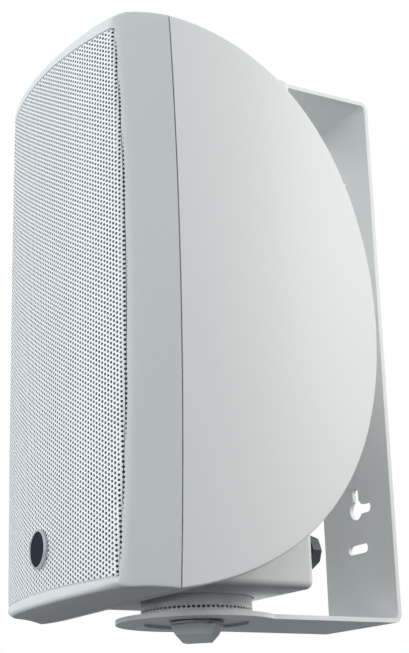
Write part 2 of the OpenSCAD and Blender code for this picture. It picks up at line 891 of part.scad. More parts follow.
// Moulded knob with a round flange and a smooth grip that narrows to a bevelled end.
module clamp_knob() {
    root = 1.2;
    bevel_top = grip_h - grip_cut;
    end_in = 0.75 * grip_cut;
    color("lightgray")
        mirror([0, 0, 1])
            rotate([0, 0, -grip_turn])
                difference() {
                    union() {
                        translate([0, 0, flange_z])
                            cylinder(d = flange_d, h = flange_t, $fn = 96);
                        translate([0, 0, grip_z])
                            intersection() {
                                translate([0, grip_w / 2, 0])
                                    rotate([90, 0, 0])
                                        linear_extrude(grip_w)
                                            polygon([
                                                [-grip_l / 2, -0.1],
                                                [grip_l / 2, -0.1],
                                                [grip_l / 2, root],
                                                [grip_end_l / 2, bevel_top],
                                                [grip_end_l / 2 - end_in, grip_h],
                                                [end_in - grip_end_l / 2, grip_h],
                                                [-grip_end_l / 2, bevel_top],
                                                [-grip_l / 2, root]
                                            ]);
                                translate([-grip_l, 0, 0])
                                    rotate([90, 0, 90])
                                        linear_extrude(2 * grip_l)
                                            polygon([
                                                [-grip_w / 2, -0.1],
                                                [grip_w / 2, -0.1],
                                                [grip_w / 2, bevel_top],
                                                [grip_w / 2 - end_in, grip_h],
                                                [end_in - grip_w / 2, grip_h],
                                                [-grip_w / 2, bevel_top]
                                            ]);
                            }
                    }
                    translate([0, 0, flange_z - 1])
                        cylinder(d = stud_d, h = flange_t + grip_h * 0.6, $fn = 48);
                }
}

module clamp_stud() {
    color("silver")
        mirror([0, 0, 1])
            translate([0, 0, stud_end_z])
                cylinder(d = stud_d, h = flange_z + flange_t + grip_h * 0.6 - 1 - stud_end_z, $fn = 48);
}

module selector_knob() {
    pointer_w = 1.6;
    color("darkslategray")
        along_y(selector_x, box_back + 0.2, -selector_drop)
            difference() {
                union() {
                    cylinder(d = selector_d, h = selector_h - 1.2, $fn = 8);
                    cylinder(d = selector_d - 2.4, h = selector_h, $fn = 8);
                }
                translate([-pointer_w / 2, 0, selector_h - 0.8])
                    cube([pointer_w, selector_d, 2]);
                translate([0, 0, -1])
                    cylinder(d = shaft_d, h = selector_h - 1, $fn = 32);
            }
}

module selector_shaft() {
    color("silver")
        along_y(selector_x, box_back - wall - 10, -selector_drop)
            cylinder(d = shaft_d, h = 10 + wall + 0.2 + selector_h - 2, $fn = 32);
}

module selector_switch() {
    body_d = 14;
    body_h = 20;
    color("dimgray")
        difference() {
            translate([selector_x - switch_w / 2, box_back - wall - body_d, -selector_drop - body_h / 2])
                cube([switch_w, body_d, body_h]);
            along_y(selector_x, box_back - wall - 10.1, -selector_drop)
                cylinder(d = shaft_d + 2 * run_fit, h = 12, $fn = 32);
        }
}

module terminal_block() {
    pitch = terminal_w / 5;
    color("dimgray")
        difference() {
            translate([terminal_x, box_back + terminal_out, -terminal_drop])
                rotate([90, 0, 0])
                    linear_extrude(terminal_out + wall + 6)
                        rounded_rect(terminal_w - 0.4, terminal_h - 0.4, 1);
            terminal_places(pitch) {
                along_y(0, box_back + terminal_out - 6, 3)
                    cylinder(d = 5, h = 8, $fn = 32);
                translate([-2.6, box_back + terminal_out - 8, -7])
                    cube([5.2, 10, 4.4]);
            }
        }
}

module terminal_places(pitch) {
    for (k = [-1.5 : 1 : 1.5])
        translate([terminal_x + k * pitch, 0, -terminal_drop])
            children();
}

module terminal_screws() {
    pitch = terminal_w / 5;
    color("silver")
        terminal_places(pitch)
            difference() {
                along_y(0, box_back + terminal_out - 6, 3)
                    cylinder(d = 5, h = 4.6, $fn = 32);
                translate([-3, box_back + terminal_out - 2.4, 2.5])
                    cube([6, 2, 1]);
            }
}

module at_woofer() {
    along_y(0, baffle_y, -woofer_drop)
        children();
}

module at_tweeter() {
    along_y(0, baffle_y, tweeter_rise)
        children();
}

// Pressed steel basket: flange with four ears, conical wall with windows, spider ledge and back plate.
module woofer_basket() {
    rim_r = woofer_hole_d / 2 - 1;
    foot_r = magnet_d / 2 - 5;
    color("dimgray")
        at_woofer()
            difference() {
                union() {
                    rotate_extrude($fn = 120)
                        polygon([
                            [rim_r, -woofer_flange_t],
                            [woofer_d / 2, -woofer_flange_t],
                            [woofer_d / 2, 0],
                            [rim_r + 0.7, 0],
                            [foot_r, spider_seat],
                            [foot_r, plate_top],
                            [coil_r + 8, plate_top],
                            [coil_r + 8, plate_top - 2],
                            [foot_r - 9, plate_top - 2],
                            [foot_r - 9, spider_seat],
                            [foot_r - 2, spider_seat],
                            [rim_r - 1.5, 0]
                        ]);
                    for (a = [45 : 90 : 315])
                        rotate([0, 0, a])
                            translate([woofer_screw_r, 0, -woofer_flange_t])
                                cylinder(d = woofer_ear_d, h = woofer_flange_t, $fn = 48);
                }
                for (i = [0 : 5])
                    rotate([0, 0, i * 60])
                        translate([foot_r - 2, -13, 7])
                            cube([woofer_d / 2, 26, spider_seat - 10]);
                for (a = [45 : 90 : 315])
                    translate([woofer_screw_r * cos(a), woofer_screw_r * sin(a), -woofer_flange_t - 1])
                        cylinder(d = screw_d + 2 * screw_fit, h = woofer_flange_t + 2, $fn = 24);
            }
}

// Half roll of rubber from the cone's rim out to the flange.
module woofer_surround() {
    mid_r = cone_d / 2 + roll_r;
    skin = 0.8;
    surround_edge_r = woofer_screw_r - screw_head_d / 2 - 0.3;
    color("black")
        at_woofer()
            rotate_extrude($fn = 120)
                union() {
                    difference() {
                        translate([mid_r, -woofer_flange_t - 0.2])
                            circle(r = roll_r, $fn = 48);
                        translate([mid_r, -woofer_flange_t - 0.2])
                            circle(r = roll_r - skin, $fn = 48);
                        translate([0, -woofer_flange_t])
                            square([woofer_d, woofer_d]);
                    }
                    translate([mid_r + roll_r - skin, -woofer_flange_t - skin])
                        square([surround_edge_r - mid_r - roll_r + skin, skin]);
                    translate([mid_r - roll_r - 1, -woofer_flange_t - skin])
                        square([1 + skin, skin]);
                }
}

// Paper cone from the former out to the roll, with a flat glue lip.
module woofer_cone() {
    neck_r = coil_r + former_t;
    rim_r = cone_d / 2;
    color("darkslategray")
        at_woofer()
            rotate_extrude($fn = 120)
                polygon([
                    [neck_r, cone_deep],
                    [neck_r, cone_deep - cone_t * 1.6],
                    [rim_r - cone_lip, -woofer_flange_t],
                    [rim_r, -woofer_flange_t],
                    [rim_r, -woofer_flange_t + cone_t],
                    [rim_r - cone_lip + 0.6, -woofer_flange_t + cone_t]
                ]);
}

// Shallow dome glued on the cone over the coil.
module woofer_dust_cap() {
    cap_r = dust_cap_d / 2;
    rise = 7;
    skin = 0.7;
    shell_r = (pow(cap_r, 2) + pow(rise, 2)) / (2 * rise);
    wall_k = (cone_deep + woofer_flange_t) / (cone_d / 2 - cone_lip - coil_r - former_t);
    seat = cone_deep - cone_t * 1.6 - (cap_r - coil_r - former_t) * wall_k;
    color("black")
        at_woofer()
            rotate_extrude($fn = 96)
                intersection() {
                    difference() {
                        translate([0, seat - rise + shell_r])
                            circle(r = shell_r, $fn = 240);
                        translate([0, seat - rise + shell_r])
                            circle(r = shell_r - skin, $fn = 240);
                    }
                    translate([0, seat - rise - 1])
                        square([cap_r, rise + 1]);
                }
}

module woofer_voice_coil() {
    color("peru")
        at_woofer()
            rotate_extrude($fn = 96)
                union() {
                    translate([coil_r, cone_deep - 4])
                        square([former_t, plate_bottom + 4 - cone_deep + 4]);
                    translate([coil_r, plate_top - 3])
                        square([former_t + 0.4, plate_bottom - plate_top + 6]);
                }
}

// Corrugated disc from the former to the basket's ledge.
module woofer_spider() {
    foot_r = magnet_d / 2 - 5;
    inner = coil_r + former_t;
    outer = foot_r - 3;
    waves = 3;
    skin = 0.5;
    wave_w = (outer - 5 - inner - 1) / waves;
    top = [for (i = [0 : 2 * waves]) [inner + 1 + i * wave_w / 2, spider_seat - skin - (i % 2) * 1.6]];
    bottom = [for (i = [2 * waves : -1 : 0]) [inner + 1 + i * wave_w / 2, spider_seat - (i % 2) * 1.6]];
    color("goldenrod")
        at_woofer()
            rotate_extrude($fn = 96)
                polygon(concat(
                    [[inner, spider_seat - skin]],
                    top,
                    [[outer, spider_seat - skin], [outer, spider_seat]],
                    bottom,
                    [[inner, spider_seat]]
                ));
}

// A flat ring drawn along the driver's axis.
module ring(inner_r, outer_r, from, to) {
    translate([0, 0, from])
        difference() {
            cylinder(r = outer_r, h = to - from, $fn = 96);
            translate([0, 0, -1])
                cylinder(r = inner_r, h = to - from + 2, $fn = 96);
        }
}

module woofer_front_plate() {
    color("silver")
        at_woofer()
            ring(coil_r + former_t + 0.4 + coil_gap, magnet_d / 2 - 3, plate_top, plate_bottom);
}

module woofer_magnet() {
    color("dimgray")
        at_woofer()
            ring(coil_r + 8, magnet_d / 2, plate_bottom, magnet_end);
}

module woofer_yoke() {
    color("silver")
        at_woofer()
            union() {
                translate([0, 0, magnet_end])
                    cylinder(r = magnet_d / 2 - 4, h = yoke_end - magnet_end, $fn = 96);
                translate([0, 0, plate_top])
                    cylinder(r = coil_r - coil_gap, h = yoke_end - plate_top - 1, $fn = 96);
            }
}

// Face plate with the flared horn mouth moulded in.
module tweeter_face_plate() {
    throat_r = dome_d / 2 + 3.4;
    neck_end = tweeter_plate_at;
    color("dimgray")
        at_tweeter()
            difference() {
                rotate_extrude($fn = 120)
                    polygon([
                        [throat_r, 7],
                        [throat_r, neck_end],
                        [tweeter_hole_d / 2 - 2, neck_end],
                        [tweeter_hole_d / 2 - 2, 0],
                        [tweeter_d / 2, 0],
                        [tweeter_d / 2, -woofer_flange_t],
                        [mouth_d / 2, -woofer_flange_t],
                        [mouth_d / 2 - 7, -0.6],
                        [throat_r + 4, 4]
                    ]);
                for (a = [45 : 90 : 315])
                    translate([tweeter_screw_r * cos(a), tweeter_screw_r * sin(a), -woofer_flange_t - 1])
                        cylinder(d = screw_d + 2 * screw_fit, h = woofer_flange_t + 2, $fn = 24);
            }
}

module tweeter_dome() {
    base_r = dome_d / 2 + 0.4;
    rise = 5;
    skin = 0.4;
    shell_r = (pow(base_r, 2) + pow(rise, 2)) / (2 * rise);
    color("lightgray")
        at_tweeter()
            rotate_extrude($fn = 96)
                intersection() {
                    difference() {
                        translate([0, tweeter_coil_start - rise + shell_r])
                            circle(r = shell_r, $fn = 240);
                        translate([0, tweeter_coil_start - rise + shell_r])
                            circle(r = shell_r - skin, $fn = 240);
                    }
                    translate([0, tweeter_coil_start - rise - 1])
                        square([base_r, rise + 1]);
                }
}

module tweeter_voice_coil() {
    color("peru")
        at_tweeter()
            ring(dome_d / 2, dome_d / 2 + 0.4, tweeter_coil_start, tweeter_magnet_at + 0.6);
}

module tweeter_surround() {
    inner = dome_d / 2 + 0.4;
    color("black")
        at_tweeter()
            ring(inner, inner + 2.6, tweeter_coil_start - 0.1, tweeter_coil_start + 0.5);
}

module tweeter_front_plate() {
    color("silver")
        at_tweeter()
            ring(dome_d / 2 + 0.4 + coil_gap, tweeter_magnet_d / 2 - 1, tweeter_plate_at, tweeter_magnet_at);
}

module tweeter_magnet() {
    color("dimgray")
        at_tweeter()
            ring(dome_d / 2 + 5, tweeter_magnet_d / 2, tweeter_magnet_at, tweeter_magnet_end);
}

module tweeter_yoke() {
    color("silver")
        at_tweeter()
            union() {
                translate([0, 0, tweeter_magnet_end])
                    cylinder(r = tweeter_magnet_d / 2 - 2, h = tweeter_plate_t + 1, $fn = 96);
                translate([0, 0, tweeter_plate_at + 0.4])
                    cylinder(r = dome_d / 2 - coil_gap, h = tweeter_magnet_end - tweeter_plate_at, $fn = 96);
            }
}

module crossover_board() {
    color("seagreen")
        difference() {
            translate([-board_w / 2, board_back, board_rise - board_h / 2])
                cube([board_w, board_t, board_h]);
            board_screw_places()
                along_y(0, board_back - 1, 0)
                    cylinder(d = screw_d + 2 * screw_fit, h = board_t + 2, $fn = 24);
        }
}

module crossover_coils() {
    color("peru")
        for (side = [-1, 1])
            along_y(air_coil_x, board_back - air_coil_l, board_rise + side * (air_coil_d / 2 + 1.5))
                ring(air_coil_d / 6, air_coil_d / 2, 0, air_coil_l);
}

module crossover_capacitors() {
    cap_pitch = cap_l + 2.2;
    color("goldenrod")
        for (k = [-1, 0, 1])
            translate([cap_x, board_back - cap_d / 2, board_rise + k * cap_pitch - cap_l / 2])
                cylinder(d = cap_d, h = cap_l, $fn = 48);
}

// Laminated core of the line transformer: a middle leg between two windows.
module transformer_core() {
    color("gray")
        difference() {
            translate([core_x, board_back - core_d, board_rise - core_h / 2])
                cube([core_w, core_d, core_h]);
            for (side = [-1, 1])
                translate([core_x + core_leg, board_back - core_d - 1, board_rise - window_h / 2])
                    translate([0, 0, side * (core_leg + window_h) / 2])
                        cube([core_w - 2 * core_leg, core_d + 2, window_h]);
        }
}

// Winding round the middle leg, standing out of the stack in front.
module transformer_winding() {
    wind_w = core_w - 2 * core_leg - 2 * winding_gap;
    wind_h = core_leg + 2 * window_h - 2 * winding_gap;
    color("gold")
        difference() {
            translate([
                core_x + core_leg + winding_gap,
                board_back - core_d - winding_wrap,
                board_rise - wind_h / 2
            ])
                cube([wind_w, core_d + winding_wrap - winding_gap, wind_h]);
            translate([core_x, board_back - core_d - winding_gap, board_rise - core_leg / 2])
                cube([core_w, core_d + 1, core_leg]);
        }
}

bracket();
bracket_ratchet();  // lower_bracket_ratchet
mirror([0, 0, 1]) bracket_ratchet();  // upper_bracket_ratchet
washer();  // lower_washer
mirror([0, 0, 1]) washer();  // upper_washer
rear_cabinet();
front_frame();
seam_gasket();
cabinet_screws();
grille();
grille_cloth();
badge_ring();
badge_disc();
cabinet_ratchet();  // lower_cabinet_ratchet
mirror([0, 0, 1]) cabinet_ratchet();  // upper_cabinet_ratchet
insert();  // lower_insert
mirror([0, 0, 1]) insert();  // upper_insert
clamp_knob();  // lower_clamp_knob
clamp_stud();  // lower_clamp_stud
mirror([0, 0, 1]) clamp_knob();  // upper_clamp_knob
mirror([0, 0, 1]) clamp_stud();  // upper_clamp_stud
selector_knob();
selector_shaft();
selector_switch();
terminal_block();
terminal_screws();
woofer_basket();
woofer_surround();
woofer_cone();
woofer_dust_cap();
woofer_voice_coil();
woofer_spider();
woofer_front_plate();
woofer_magnet();
woofer_yoke();
woofer_screws();
tweeter_face_plate();
tweeter_dome();
tweeter_voice_coil();
tweeter_surround();
tweeter_front_plate();
tweeter_magnet();
tweeter_yoke();
tweeter_screws();
crossover_board();
crossover_coils();
crossover_capacitors();
transformer_core();
transformer_winding();
board_screws();
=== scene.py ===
"""Two-way wall loudspeaker in its U bracket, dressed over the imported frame. Metres, +Z up."""
import json
import math
import bmesh
import bpy
import numpy as np
from mathutils import Matrix, Vector
from mathutils.geometry import tessellate_polygon


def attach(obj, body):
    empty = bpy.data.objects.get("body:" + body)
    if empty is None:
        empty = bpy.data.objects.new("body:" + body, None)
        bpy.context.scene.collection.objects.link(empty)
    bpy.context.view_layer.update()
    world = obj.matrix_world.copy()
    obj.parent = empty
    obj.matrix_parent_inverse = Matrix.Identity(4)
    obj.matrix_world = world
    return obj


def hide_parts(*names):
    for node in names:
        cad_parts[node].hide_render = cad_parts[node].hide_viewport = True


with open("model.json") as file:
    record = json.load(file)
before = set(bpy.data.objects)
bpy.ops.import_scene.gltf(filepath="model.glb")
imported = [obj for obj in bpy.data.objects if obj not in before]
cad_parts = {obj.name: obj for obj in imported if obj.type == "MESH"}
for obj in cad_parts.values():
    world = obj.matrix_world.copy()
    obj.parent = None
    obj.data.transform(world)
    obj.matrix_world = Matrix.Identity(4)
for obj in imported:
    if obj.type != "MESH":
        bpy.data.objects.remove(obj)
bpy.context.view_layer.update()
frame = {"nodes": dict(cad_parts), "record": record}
nodes = frame["nodes"]

MM = 0.001

# Cabinet, in millimetres, as in the part's source. Y runs back from the front, the pan axis is at 0.
CHEEK_R = 151.0
CHEEK_BACK = 78.2
CHEEK_Y = CHEEK_BACK - CHEEK_R
SEAM_Y = -54.0
WIDEST_HALF = 181.9 / 2
WIDEST_Y = -17.2
SIDE_ROUND = 218.0
SIDE_BOW = 6.2
BOW_R = CHEEK_R ** 2 / (2 * SIDE_BOW)
SEAM_HALF = WIDEST_HALF - SIDE_ROUND + math.sqrt(SIDE_ROUND ** 2 - (SEAM_Y - WIDEST_Y) ** 2)
FRONT_HALF = 75.0
BAND_D = 23.0
BAND_SLOPE = (SEAM_HALF - FRONT_HALF) / BAND_D
HALF_GAP = 0.35
LIP_R = 1.2
WALL = 3.0
FRONT_BOW = 13.0
FRONT_R = (FRONT_HALF ** 2 + FRONT_BOW ** 2) / (2 * FRONT_BOW)
FRONT_AXIS_Y = SEAM_Y - BAND_D - FRONT_BOW + FRONT_R

# Centre box: half width, rear face, half height, the rounding of its edges and the least corner radius.
BOX_HALF_W = 117.4 / 2
BOX_BACK = 36.7
BOX_HALF_H = 287.4 / 2
BOX_ROUND = 4.0
LEAST_R = 1e-4

# Front frame: the soft edge beside the grille, the round front edge at the ends, how far the ends stand past
# the round shell and where, how far the front edge falls back at the four corners, and the baffle. Its two
# holes are given by radius and height.
EDGE_TURN = 5.5
FRAME_ROUND = 3.2
ROUND_STEPS = 8
TOP_CROWN, FOOT_CROWN = 1.6, -2.6
CROWN_Y, CROWN_HALF, CROWN_LEAST = -71.0, 17.0, -0.3
CORNER_SOFT, CORNER_REACH = 3.0, 15.0
BAFFLE_Y = -70.0
BAFFLE_T = 6.0
WOOFER_HOLE = (62.0, -45.0)
TWEETER_HOLE = (33.0, 78.0)

# Painted shadow round the ratchet rings: the radius of its circle and its width.
SEAT_R = 30.0
SEAT_SHADOW_W = 0.9

# Grille: outline, folds at the sides and ends, length of the return behind the fold, holes and sheet.
GRILLE_HALF = 74.0
GRILLE_TOP = 143.5
GRILLE_BOW_R = BOW_R * (1 - BAND_SLOPE * FRONT_HALF / math.sqrt(FRONT_R ** 2 - FRONT_HALF ** 2))
GRILLE_FIT = 0.15
GRILLE_FOLD = 4.4
GRILLE_CORNER = 5.0
END_FOLD = 0.9
END_CORNER = 1.5
RETURN_RUN = 1.0
CELL_CORNERS, HOLE_POINTS = 6, 8
HOLE_PITCH = 2.45
HOLE_R = 0.86
FOLD_HOLE = 0.86
SHEET_T = 0.7


# ---------------------------------------------------------------- meshes
def grid_faces(rows, cols, wrap=False, first=0):
    """Quads between neighbours on a rows by cols grid of points; wrap joins the last column to the first:
    (r, c), (r, c + 1), (r + 1, c + 1), (r + 1, c)."""
    r = np.arange(rows - 1)[:, None]
    c = np.arange(cols if wrap else cols - 1)[None, :]
    after = (c + 1) % cols
    below, above = r * cols, (r + 1) * cols
    quads = np.stack(np.broadcast_arrays(below + c, below + after, above + after, above + c), -1)
    return quads.reshape(-1, 4) + first


class Shape:
    """Points in millimetres and faces, gathered block by block before they become one mesh."""

    def __init__(self):
        self.points, self.faces, self.count = [], [], 0

    def grid(self, pts, wrap=False):
        """Adds an array (rows, cols, 3) of points with quads between neighbours."""
        rows, cols = pts.shape[:2]
        self.faces.append(grid_faces(rows, cols, wrap, self.count))
        self.points.append(pts.reshape(-1, 3))
        self.count += rows * cols

    def block(self, pts, *faces):
        """Adds points (n, 3) and arrays of faces that count from this block's first point."""
        self.faces.extend(np.asarray(f) + self.count for f in faces)
        self.points.append(np.asarray(pts, float).reshape(-1, 3))
        self.count += len(self.points[-1])

    def mesh(self, name, merge=0.001, sharp=30):
        """One mesh: points merged within merge millimetres, normals outward, and edges over sharp degrees
        kept crisp."""
        mesh = bpy.data.meshes.new(name)
        pts = np.concatenate(self.points) * MM
        corners = np.concatenate([f.ravel() for f in self.faces])
        sizes = np.concatenate([np.full(len(f), f.shape[1]) for f in self.faces])
        mesh.vertices.add(len(pts))
        mesh.vertices.foreach_set("co", pts.astype(np.float32).ravel())
        mesh.loops.add(len(corners))
        mesh.loops.foreach_set("vertex_index", corners.astype(np.int32))
        mesh.polygons.add(len(sizes))
        starts = np.concatenate([[0], np.cumsum(sizes)[:-1]])
        mesh.polygons.foreach_set("loop_start", starts.astype(np.int32))
        mesh.update(calc_edges=True)
        bm = bmesh.new()
        bm.from_mesh(mesh)
        bmesh.ops.remove_doubles(bm, verts=bm.verts, dist=merge * MM)
        bmesh.ops.dissolve_degenerate(bm, edges=bm.edges, dist=1e-7)
        bmesh.ops.recalc_face_normals(bm, faces=bm.faces)
        bm.to_mesh(mesh)
        bm.free()
        mesh.polygons.foreach_set("use_smooth", np.ones(len(mesh.polygons), bool))
        mesh.set_sharp_from_angle(angle=math.radians(sharp))
        mesh.update()
        return mesh


def place(name, mesh, body, finish, replaced=()):
    """The mesh as an object at the origin that rides on body and wears finish."""
    obj = bpy.data.objects.new(name, mesh)
    bpy.context.collection.objects.link(obj)
    mesh.materials.clear()
    mesh.materials.append(finish)
    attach(obj, body)
    if replaced:
        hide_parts(*replaced)
    return obj


def softened(node, body, finish, width, segments=2, angle=28):
    """A merged copy of a CAD node, its flat faces joined, whose edges over angle degrees are rounded by
    width millimetres."""
    mesh = nodes[node].data.copy()
    bm = bmesh.new()
    bm.from_mesh(mesh)
    bmesh.ops.remove_doubles(bm, verts=bm.verts, dist=2e-6)
    flat = math.radians(0.5)
    bmesh.ops.dissolve_limit(bm, angle_limit=flat, verts=bm.verts, edges=bm.edges)
    bmesh.ops.recalc_face_normals(bm, faces=bm.faces)
    bm.to_mesh(mesh)
    bm.free()
    mesh.name = node + "_soft"
    mesh.polygons.foreach_set("use_smooth", np.ones(len(mesh.polygons), bool))
    mesh.set_sharp_from_angle(angle=math.radians(angle))
    obj = place(node + "_piece", mesh, body, finish, [node])
    bevel = obj.modifiers.new("soft_edges", "BEVEL")
    bevel.width = width * MM
    bevel.segments = segments
    bevel.limit_method = "ANGLE"
    bevel.angle_limit = math.radians(angle)
    bevel.use_clamp_overlap = True
    bevel.harden_normals = True
    return obj


# ---------------------------------------------------------------- finishes
def linear(code):
    """An sRGB hex colour as linear RGBA."""
    parts = [int(code[i:i + 2], 16) / 255 for i in (1, 3, 5)]
    return [v / 12.92 if v <= 0.04045 else ((v + 0.055) / 1.055) ** 2.4 for v in parts] + [1.0]


def add(tree, kind, settings=None, links=None, **attributes):
    """One node of a kind, with its attributes, its input settings and its links from other nodes' outputs."""
    node = tree.nodes.new(kind)
    for key, value in attributes.items():
        setattr(node, key, value)
    for key, value in (settings or {}).items():
        node.inputs[key].default_value = value
    for key, output in (links or {}).items():
        tree.links.new(output, node.inputs[key])
    return node


def finish_of(name, colour, rough, grain, bump, vary, blotch, metal=0.0, ior=1.5, coat=0.0):
    """A finish whose colour drifts slowly over blotch millimetres by vary, and whose surface has a
    moulded, painted or ground grain: noise with a wavelength of grain millimetres, bump millimetres high."""
    mat = bpy.data.materials.new(name)
    mat.use_nodes = True
    tree = mat.node_tree
    tree.nodes.clear()
    out = add(tree, "ShaderNodeOutputMaterial")
    shader = add(tree, "ShaderNodeBsdfPrincipled",
                 {"Roughness": rough, "Metallic": metal, "IOR": ior, "Coat Weight": coat})
    tree.links.new(shader.outputs[0], out.inputs["Surface"])
    where = add(tree, "ShaderNodeTexCoord").outputs["Object"]
    drift = add(tree, "ShaderNodeTexNoise",
                {"Scale": 1 / (blotch * MM), "Detail": 3.0, "Roughness": 0.5}, {"Vector": where})
    base = linear(colour)
    dark = [c * (1 - vary) for c in base[:3]] + [1.0]
    light = [min(1.0, c * (1 + vary)) for c in base[:3]] + [1.0]
    ramp = add(tree, "ShaderNodeMix", {"A": dark, "B": light}, None, data_type="RGBA")
    tree.links.new(drift.outputs["Fac"], ramp.inputs["Factor"])
    tree.links.new(ramp.outputs["Result"], shader.inputs["Base Color"])
    fine = add(tree, "ShaderNodeTexNoise",
               {"Scale": 1 / (grain * MM), "Detail": 2.0, "Roughness": 0.6}, {"Vector": where})
    span = add(tree, "ShaderNodeMapRange",
               {"To Min": rough - 0.05, "To Max": rough + 0.06}, {"Value": fine.outputs["Fac"]})
    tree.links.new(span.outputs[0], shader.inputs["Roughness"])
    relief = add(tree, "ShaderNodeBump",
                 {"Strength": 1.0, "Distance": bump * MM}, {"Height": fine.outputs["Fac"]})
    tree.links.new(relief.outputs[0], shader.inputs["Normal"])
    return mat


def paint_seat_shadow(mat):
    """Paints a shadow round each ratchet ring, where the part's shell is cut back round the pan axis and this
    shell is not: a dark circle of SEAT_R millimetres, as wide as set above, on the shell's two ends."""
    tree = mat.node_tree
    shader = next(n for n in tree.nodes if n.type == "BSDF_PRINCIPLED")
    base = shader.inputs["Base Color"].links[0].from_socket
    where = add(tree, "ShaderNodeTexCoord").outputs["Object"]
    flat = add(tree, "ShaderNodeVectorMath", {1: (1.0, 1.0, 0.0)}, {0: where}, operation="MULTIPLY")
    far = add(tree, "ShaderNodeVectorMath", None, {0: flat.outputs[0]}, operation="LENGTH")
    seat_shadow_mask = add(tree, "ShaderNodeMath", {1: SEAT_R * MM, 2: SEAT_SHADOW_W / 2 * MM},
              {0: far.outputs["Value"]}, operation="COMPARE")
    # Painted shadow: the ring is mixed to dark grey over the base colour.
    dark = add(tree, "ShaderNodeMix", {"B": linear("#2A2D30")},
               {"Factor": seat_shadow_mask.outputs[0], "A": base}, data_type="RGBA")
    tree.links.new(dark.outputs["Result"], shader.inputs["Base Color"])


# White ABS, injection moulded against an eroded tool: a dry, even grain, faintly cool.
abs_shell = finish_of("white_abs_moulded_shell", "#E7E9E9", 0.52,
                      grain=0.55, bump=0.05, vary=0.015, blotch=60)
# A painted shadow round the ratchet seats on the shell's two ends.
paint_seat_shadow(abs_shell)
# The same ABS on the second moulding, coloured a touch darker than the shell as painted shade, so the seam
# reads as two mouldings.
shaded_abs_frame = finish_of("white_abs_moulded_frame_shaded", "#DDE0DF", 0.5,
                      grain=0.55, bump=0.05, vary=0.015, blotch=60)
# White nylon, moulded: a little smoother than ABS, so the fine teeth stay crisp.
abs_ratchet = finish_of("white_nylon_moulded_ratchet", "#ECEEEE", 0.46,
                        grain=0.5, bump=0.03, vary=0.02, blotch=15)
# Grey-white nylon, moulded: a soft sheen on the bevels, darker than what it clamps.
abs_knob = finish_of("grey_white_nylon_moulded_knob", "#C9CED0", 0.42,
                     grain=0.5, bump=0.03, vary=0.02, blotch=12)
# Slate ABS, moulded satin: dark facets that still show which way they face.
dark_abs = finish_of("black_abs_moulded_satin", "#343B41", 0.42,
                     grain=0.4, bump=0.02, vary=0.08, blotch=8)
# White powder coat on punched steel: a faint orange peel and a thin gloss round the holes.
powder_grille = finish_of("white_powder_coat_on_grille", "#EFF2F3", 0.38,
                          grain=1.2, bump=0.012, vary=0.01, blotch=60, coat=0.15)
# White powder coat on bent steel: a longer, flatter orange peel, duller than the grille.
powder_bracket = finish_of("white_powder_coat_on_bracket", "#F0F2F2", 0.46,
                           grain=1.6, bump=0.03, vary=0.015, blotch=50)
# Zinc-plated steel: bright, slightly blotched metal on screws, studs and speaker iron.
zinc = finish_of("zinc_plated_steel", "#A9ADB0", 0.32,
                 grain=0.6, bump=0.01, vary=0.06, blotch=6, metal=1.0)
# Turned brass: warm metal on the inserts.
brass = finish_of("turned_brass", "#B9934F", 0.28,
                  grain=0.5, bump=0.01, vary=0.06, blotch=6, metal=1.0)
# Moulded rubber: a matte black line in the seam, and the surrounds.
rubber = finish_of("black_rubber_moulded", "#1E2022", 0.7,
                   grain=0.4, bump=0.02, vary=0.1, blotch=10)
# Charcoal knit cloth: rough and dark, so the holes in front of it read as holes.
knit = finish_of("charcoal_knit_cloth", "#2E3236", 0.9,
                 grain=0.5, bump=0.12, vary=0.12, blotch=3)
# Satin chrome on the badge ring: a soft silver rim.
silver = finish_of("polished_chrome_ring", "#B4B8BC", 0.32,
                   grain=2.0, bump=0.004, vary=0.03, blotch=8, metal=1.0)
# Navy enamel on the badge disc: nearly black, with hardly any reflection.
navy = finish_of("navy_satin_enamel_disc", "#0A1020", 0.5,
                 grain=2.0, bump=0.006, vary=0.1, blotch=9, ior=1.15)
# Ground ferrite: dull dark magnets.
ferrite = finish_of("ground_ferrite", "#2B2C2F", 0.6,
                    grain=0.3, bump=0.02, vary=0.1, blotch=5)
# Pressed paper pulp: a fibrous black cone.
pulp = finish_of("black_pressed_paper_pulp", "#222326", 0.85,
                 grain=0.7, bump=0.08, vary=0.2, blotch=4)
# Enamelled copper wire: a warm, glossy winding.
copper = finish_of("enamelled_copper_winding", "#9C5B36", 0.35,
                   grain=0.4, bump=0.03, vary=0.1, blotch=3, metal=0.8)
# Green solder mask on the crossover board.
mask = finish_of("green_solder_mask", "#2A5B3C", 0.35,
                 grain=1.0, bump=0.01, vary=0.1, blotch=8)
# Yellow film wrapped round capacitors and windings.
film = finish_of("yellow_film_wrap", "#B9922F", 0.4,
                 grain=1.0, bump=0.01, vary=0.08, blotch=6)

by_slot = {
    "cabinet_plastic": abs_shell, "frame_plastic": shaded_abs_frame, "ratchet_plastic": abs_ratchet,
    "knob_plastic": abs_knob, "dark_plastic": dark_abs, "grille_paint": powder_grille,
    "bracket_paint": powder_bracket, "steel": zinc, "brass": brass, "gasket_rubber": rubber,
    "cloth": knit, "badge_silver": silver, "badge_blue": navy, "ferrite": ferrite, "paper": pulp,
    "copper": copper, "board": mask, "film": film,
}
slot_of = {part["node"]: part["material_slot"] for part in frame["record"]["subparts"]}
for name, obj in nodes.items():
    obj.data.materials.clear()
    obj.data.materials.append(by_slot[slot_of[name]])


# ---------------------------------------------------------------- cabinet shell
def rear_side(y, z):
    """Half width behind the seam: an arc seen from above, swung round a line BOW_R away on the other side."""
    swing = BOW_R - SIDE_ROUND + np.sqrt(SIDE_ROUND ** 2 - (y - WIDEST_Y) ** 2)
    return WIDEST_HALF - BOW_R + np.sqrt(swing ** 2 - z ** 2)


def band_side(y, z):
    """Half width of the slanted band in front of the seam."""
    return SEAM_HALF - (SEAM_Y - y) * BAND_SLOPE - z ** 2 / (2 * BOW_R)


